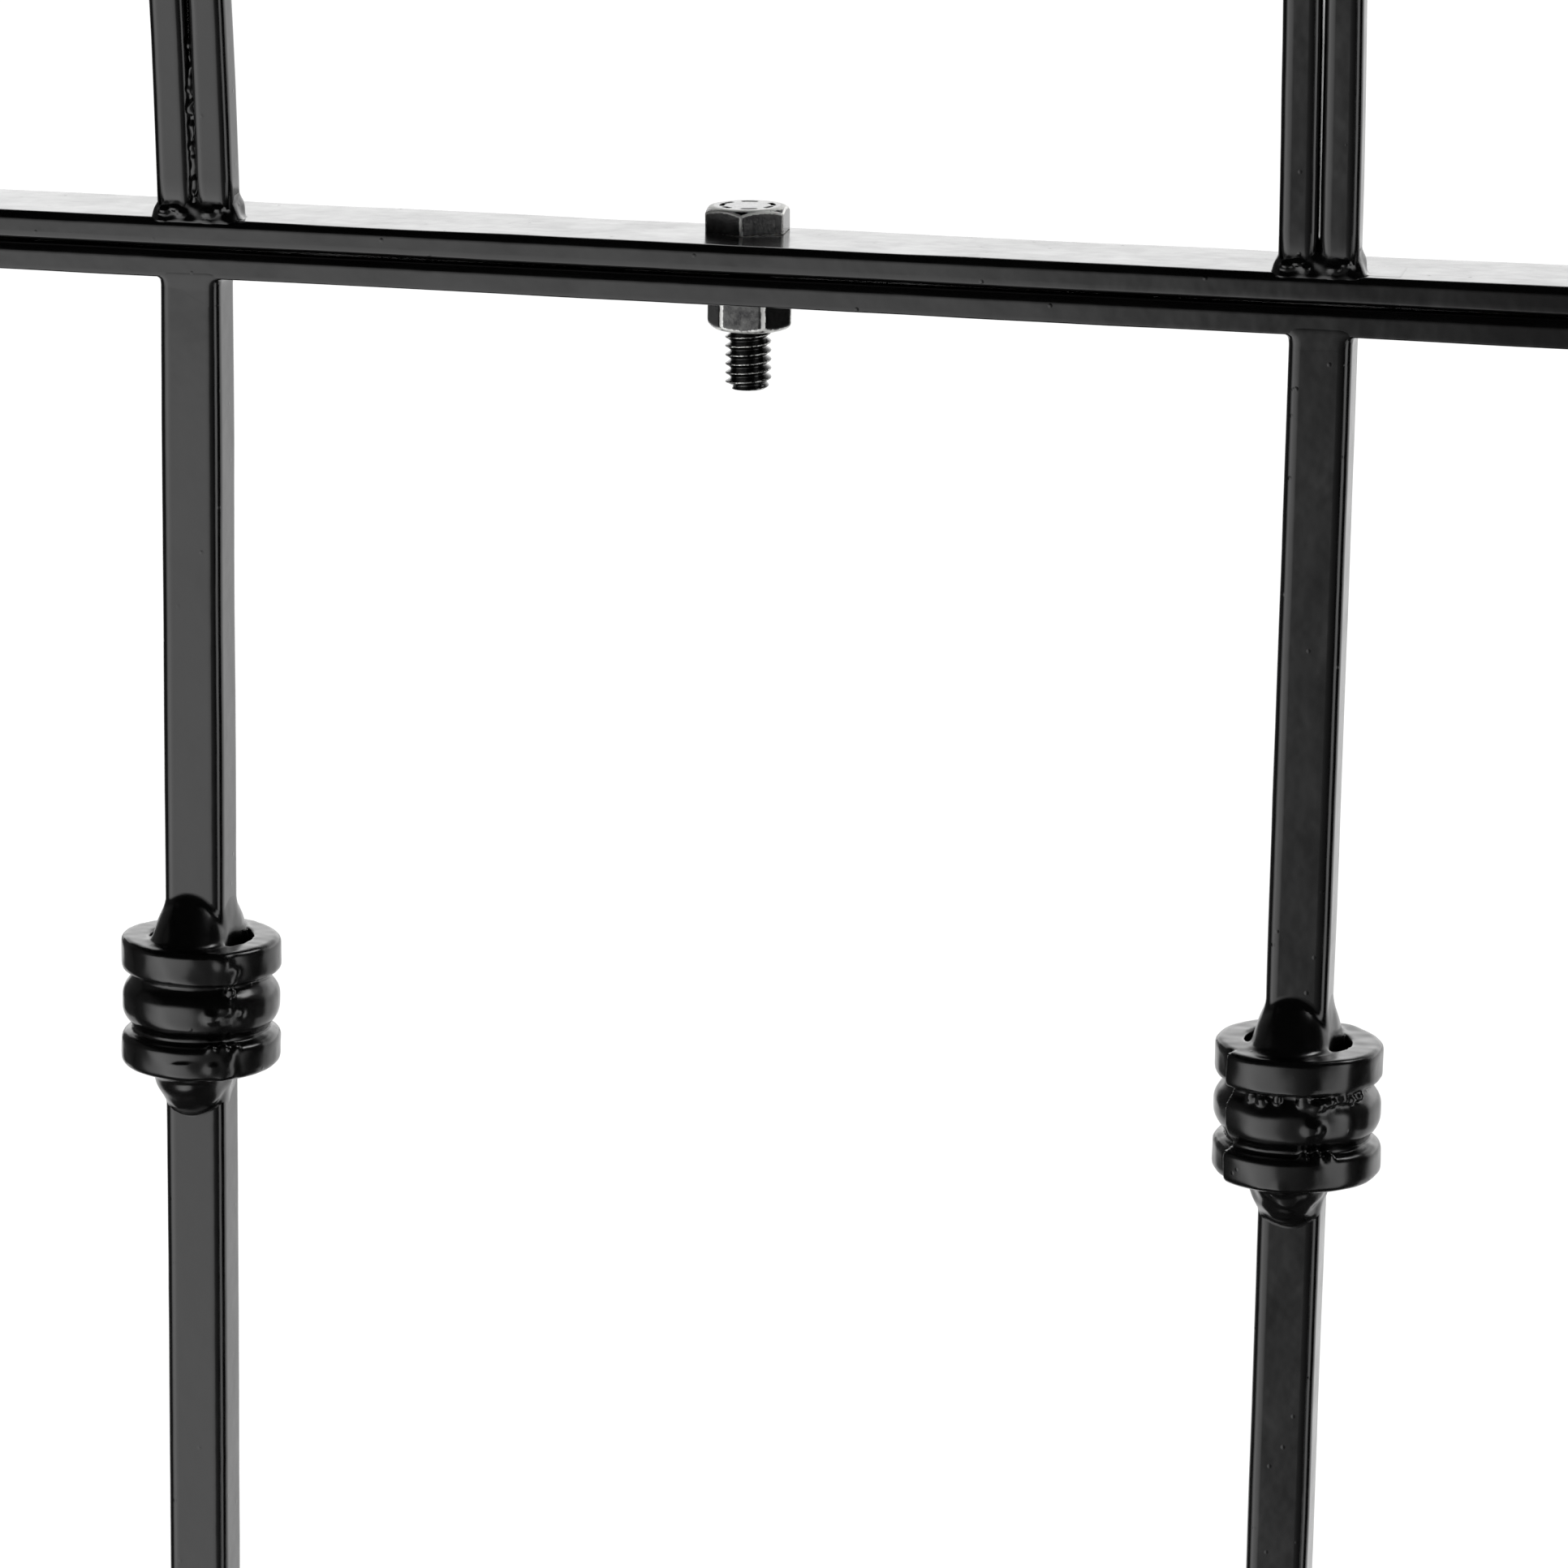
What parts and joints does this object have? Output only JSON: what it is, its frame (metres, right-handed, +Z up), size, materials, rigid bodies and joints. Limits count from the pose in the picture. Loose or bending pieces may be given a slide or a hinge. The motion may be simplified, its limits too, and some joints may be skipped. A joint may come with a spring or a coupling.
{
  "type": "metal trellis arch",
  "caption": "Walk-through garden arch of black painted steel bars with collared uprights, paired curved ribs and a bolted joint between side panels and arch.",
  "frame": {"origin": "on the ground at the centre of the footprint", "axes": "+Z up, +Y along the garden path through the arch, +X across the path"},
  "size_m": [1.26, 0.53, 2.1385],
  "materials": {
    "black_paint": "glossy black paint over welded steel",
    "zinc": "bright zinc plated steel fasteners"
  },
  "bodies": {
    "root": {"cross_rail_1": "black_paint", "cross_rail_2": "black_paint", "cross_rail_3": "black_paint", "cross_rail_4": "black_paint", "cross_rail_5": "black_paint", "cross_rail_6": "black_paint", "cross_rail_7": "black_paint", "cross_rail_8": "black_paint", "cross_rail_9": "black_paint", "edge_rib_front": "black_paint", "edge_rib_rear": "black_paint", "left_arch_foot_rail": "black_paint", "left_bar_lower_front": "black_paint", "left_bar_lower_rear": "black_paint", "left_bar_upper_front": "black_paint", "left_bar_upper_rear": "black_paint", "left_bolt_front": "zinc", "left_bolt_middle": "zinc", "left_bolt_rear": "zinc", "left_collar_lower_front": "black_paint", "left_collar_lower_rear": "black_paint", "left_collar_upper_front": "black_paint", "left_collar_upper_rear": "black_paint", "left_foot_front": "black_paint", "left_foot_rear": "black_paint", "left_nut_front": "zinc", "left_nut_middle": "zinc", "left_nut_rear": "zinc", "left_panel_bottom_rail": "black_paint", "left_panel_middle_rail": "black_paint", "left_panel_top_rail": "black_paint", "left_post_front": "black_paint", "left_post_rear": "black_paint", "right_arch_foot_rail": "black_paint", "right_bar_lower_front": "black_paint", "right_bar_lower_rear": "black_paint", "right_bar_upper_front": "black_paint", "right_bar_upper_rear": "black_paint", "right_bolt_front": "zinc", "right_bolt_middle": "zinc", "right_bolt_rear": "zinc", "right_collar_lower_front": "black_paint", "right_collar_lower_rear": "black_paint", "right_collar_upper_front": "black_paint", "right_collar_upper_rear": "black_paint", "right_foot_front": "black_paint", "right_foot_rear": "black_paint", "right_nut_front": "zinc", "right_nut_middle": "zinc", "right_nut_rear": "zinc", "right_panel_bottom_rail": "black_paint", "right_panel_middle_rail": "black_paint", "right_panel_top_rail": "black_paint", "right_post_front": "black_paint", "right_post_rear": "black_paint", "twin_rib_front_inner": "black_paint", "twin_rib_front_outer": "black_paint", "twin_rib_rear_inner": "black_paint", "twin_rib_rear_outer": "black_paint"}
  },
  "joints": []
}
